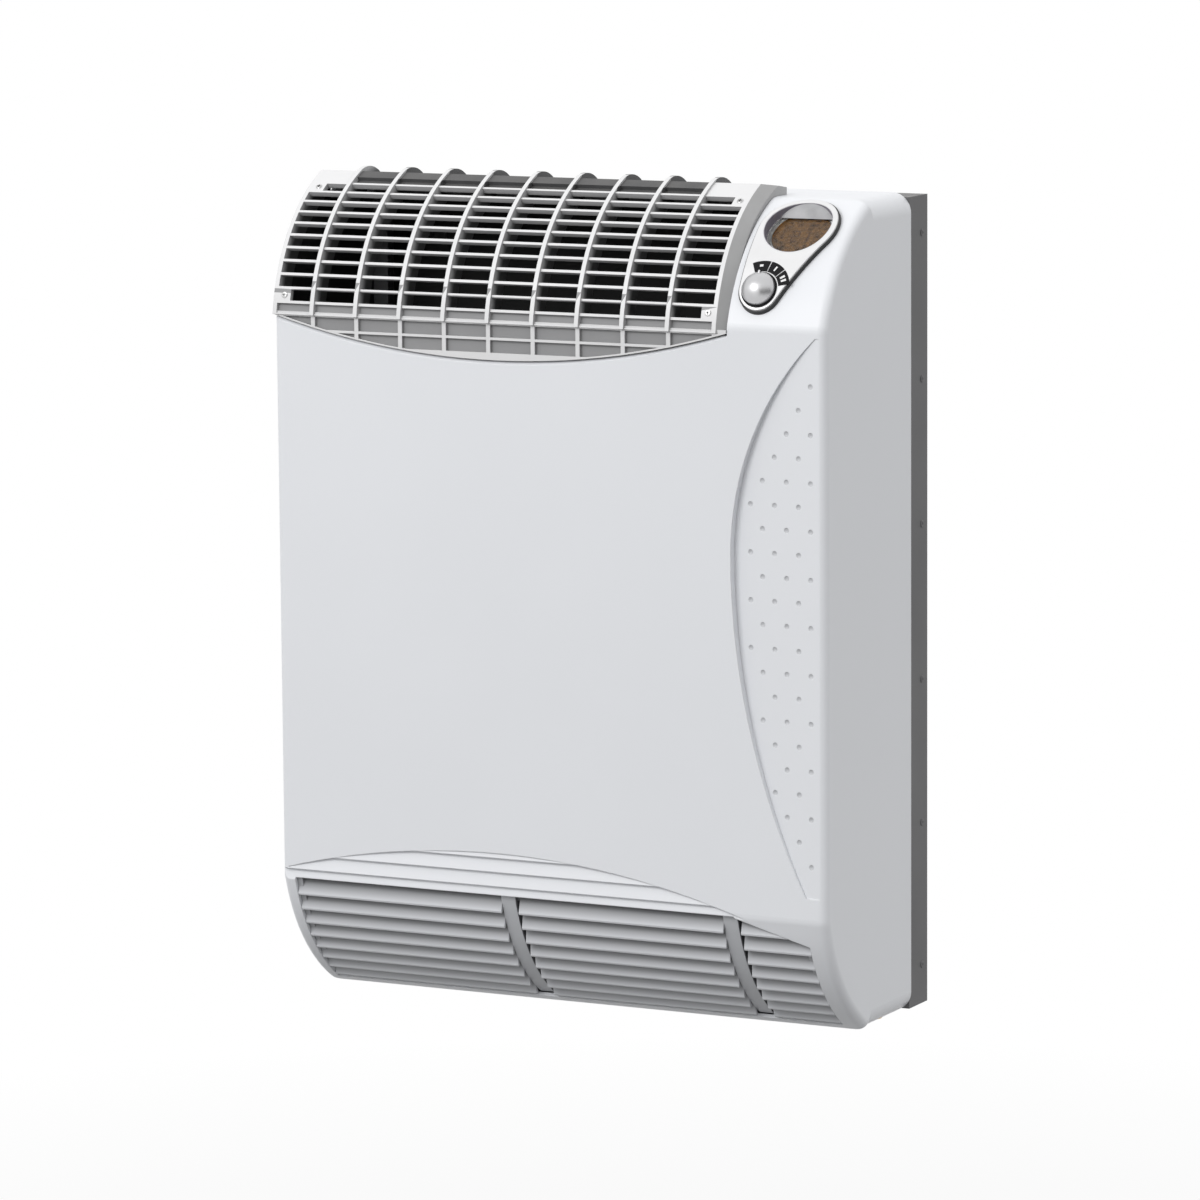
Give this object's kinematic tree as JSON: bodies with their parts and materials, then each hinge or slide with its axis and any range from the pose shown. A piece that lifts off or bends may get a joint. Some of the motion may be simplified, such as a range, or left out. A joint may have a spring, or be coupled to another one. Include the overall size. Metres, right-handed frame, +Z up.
{
  "type": "gas heater",
  "caption": "Wall-hung fan gas convector with a rolled white casing, curved outlet grille, slatted intake below and a teardrop control fascia with display and selector knob.",
  "frame": {"origin": "on the wall plane, at the middle of the four wall screw holes", "axes": "+X to the right seen from the front, +Y into the wall, +Z up"},
  "size_m": [0.544, 0.2258, 0.7642],
  "materials": {
    "casing": "satin white enamel",
    "frame": "dark grey powder coat",
    "grille": "grey satin moulding",
    "fascia": "silver metallic paint",
    "seal": "black rubber",
    "lens": "tinted clear window",
    "module": "display behind the window",
    "knob": "satin metal dome",
    "steel": "bright steel",
    "sheet": "galvanised sheet",
    "casting": "as-cast light alloy",
    "pipe": "drawn tube",
    "brass": "gas fittings",
    "moulding": "black moulding",
    "motor": "motor body",
    "board": "green circuit board",
    "ceramic": "glazed ceramic on wire"
  },
  "bodies": {
    "heater": {"air_duct": "sheet", "air_intake_pipe": "pipe", "blower_cover": "casting", "blower_motor": "motor", "blower_scroll": "casting", "burner_door": "sheet", "burner_gasket": "seal", "burner_tube": "steel", "cable_gland": "seal", "casing_screws": "steel", "control_board": "board", "control_box": "moulding", "control_fascia": "fascia", "control_lid": "moulding", "display_lens": "lens", "display_module": "module", "door_screws": "steel", "fan_bearing": "moulding", "fan_motor": "motor", "fan_scroll": "sheet", "fan_tongue": "sheet", "fascia_gasket": "seal", "flame_electrode": "ceramic", "flue_pipe": "pipe", "front_casing": "casing", "gas_feed_pipe": "brass", "gas_inlet_pipe": "brass", "gas_valve": "casting", "heat_exchanger": "casting", "ignition_electrode": "ceramic", "intake_louvre": "casing", "left_bracket": "sheet", "left_fan_plate": "sheet", "limit_thermostat": "moulding", "mixing_duct": "sheet", "outlet_grille": "grille", "partition_plate": "sheet", "pressure_switch": "moulding", "rear_frame": "frame", "right_bracket": "sheet", "right_fan_plate": "sheet", "selector_switch": "moulding", "terminal_block": "moulding", "valve_bracket": "sheet", "valve_coils": "moulding"},
    "selector": {"selector_knob": "knob", "selector_shaft": "steel"},
    "room_fan": {"fan_rotor": "casting", "fan_shaft": "steel"},
    "flue_fan": {"blower_impeller": "casting", "blower_shaft": "steel"}
  },
  "joints": [
    {"name": "selector_turn", "type": "hinge", "parent": "heater", "child": "selector", "pos_m": [0.2055, -0.20818, 0.29272], "axis": [0, -0.878, 0.4787], "range_deg": [-60, 0]},
    {"name": "room_fan_spin", "type": "hinge", "parent": "heater", "child": "room_fan", "pos_m": [-0.05, -0.115, -0.2625], "axis": [1, 0, 0], "continuous": true},
    {"name": "flue_fan_spin", "type": "hinge", "parent": "heater", "child": "flue_fan", "pos_m": [0.225, -0.11, -0.0855], "axis": [0, 1, 0], "continuous": true}
  ]
}
